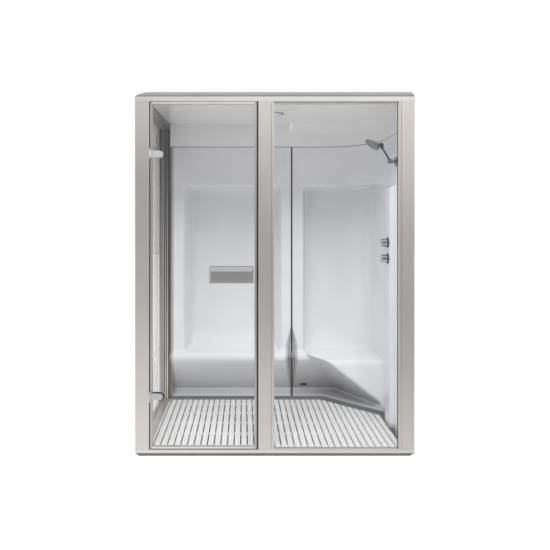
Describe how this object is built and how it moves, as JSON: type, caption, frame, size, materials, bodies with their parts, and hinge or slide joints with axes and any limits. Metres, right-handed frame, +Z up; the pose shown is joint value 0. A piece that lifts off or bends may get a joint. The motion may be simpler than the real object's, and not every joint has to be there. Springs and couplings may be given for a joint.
{
  "type": "steam sauna cabin",
  "caption": "Aluminium framed steam cabin with hinged glass door, fixed panes, white moulded liner with two seats, slatted floor, shower and steam supply.",
  "frame": {"origin": "centre of the cabin's box on the floor, with the outer handle's reach counted in", "axes": "+X to the right seen from the front, +Y from the front to the back, +Z up"},
  "size_m": [1.68, 1.178, 2.21],
  "materials": {
    "frame_aluminium": "satin anodised extrusion",
    "door_aluminium": "satin anodised slim extrusion",
    "inner_aluminium": "mill finish",
    "clear_glass": "clear toughened glass",
    "black_rubber": "smooth extruded seal",
    "chrome": "polished chrome plate",
    "white_acrylic": "vacuum formed gloss acrylic",
    "opal_lens": "opal diffuser",
    "lamp_housing": "moulded white",
    "slat_plastic": "satin white slat",
    "white_panel": "white coated sheet",
    "galvanised_steel": "galvanised",
    "generator_case": "brushed stainless case",
    "black_plastic": "heat resistant moulded",
    "brass": "drawn and machined"
  },
  "bodies": {
    "root": {"base_pads": "black_rubber", "base_runners": "galvanised_steel", "ceiling_light_bezel": "chrome", "ceiling_light_housing": "lamp_housing", "ceiling_light_lens": "opal_lens", "ceiling_panel": "white_acrylic", "center_mullion": "frame_aluminium", "door_stop_seals": "black_rubber", "fixed_front_glass": "clear_glass", "front_cornice": "frame_aluminium", "front_glass_gasket": "black_rubber", "front_glazing_beads": "frame_aluminium", "front_sill": "frame_aluminium", "hinge_pins": "chrome", "hinge_post_brackets": "chrome", "knob_escutcheons": "chrome", "left_end_panel": "white_panel", "left_post": "frame_aluminium", "left_wall_module": "white_acrylic", "liner_brackets": "galvanised_steel", "magnet_strike_strip": "black_rubber", "mixer_valve": "brass", "module_joint_seal": "black_rubber", "post_end_cleats": "inner_aluminium", "rear_left_post": "frame_aluminium", "rear_support_frame": "galvanised_steel", "right_post": "frame_aluminium", "right_wall_battens": "inner_aluminium", "right_wall_module": "white_acrylic", "seat_support_arms": "galvanised_steel", "shower_riser_pipe": "brass", "shower_tray": "white_acrylic", "shower_wall_bracket": "chrome", "side_cornice": "frame_aluminium", "side_glass": "clear_glass", "side_glass_gasket": "black_rubber", "side_sill": "frame_aluminium", "steam_generator": "generator_case", "steam_outlet_nozzle": "black_plastic", "steam_pipe": "brass", "wall_fixing_plates": "galvanised_steel", "waste_cover": "chrome", "waste_outlet": "black_plastic"},
    "door": {"door_glass": "clear_glass", "door_hinge_stile": "door_aluminium", "door_lock_stile": "door_aluminium", "door_top_rail": "door_aluminium", "door_bottom_rail": "door_aluminium", "door_magnetic_seal": "black_rubber", "door_bottom_sweep": "black_rubber", "upper_hinge_leaf": "chrome", "lower_hinge_leaf": "chrome", "handle_outer_grip": "door_aluminium", "handle_inner_grip": "door_aluminium"},
    "temperature_knob": {"temperature_knob": "chrome"},
    "flow_knob": {"flow_knob": "chrome"},
    "shower_arm": {"shower_arm": "chrome"},
    "shower_head": {"shower_head": "chrome"},
    "duckboard": {"duckboard_slats": "slat_plastic", "duckboard_bearers": "slat_plastic"}
  },
  "joints": [
    {"name": "door_swing", "type": "hinge", "parent": "root", "child": "door", "pos_m": [-0.748, -0.567, 1], "axis": [0, 0, -1], "range_deg": [0, 100]},
    {"name": "temperature_turn", "type": "hinge", "parent": "root", "child": "temperature_knob", "pos_m": [0.75, -0.216, 1.278], "axis": [-1, 0, 0], "range_deg": [-120, 120]},
    {"name": "flow_turn", "type": "hinge", "parent": "root", "child": "flow_knob", "pos_m": [0.75, -0.216, 1.171], "axis": [-1, 0, 0], "range_deg": [0, 180]},
    {"name": "shower_arm_tilt", "type": "hinge", "parent": "root", "child": "shower_arm", "pos_m": [0.778, -0.282, 1.814], "axis": [0, 1, 0], "range_deg": [-20, 20]},
    {"name": "shower_head_tilt", "type": "hinge", "parent": "shower_arm", "child": "shower_head", "pos_m": [0.715, -0.282, 1.92], "axis": [0, 1, 0], "range_deg": [-20, 20]},
    {"name": "duckboard_lift", "type": "slide", "parent": "root", "child": "duckboard", "axis": [0, 0, 1], "range_m": [0, 0.12]}
  ]
}
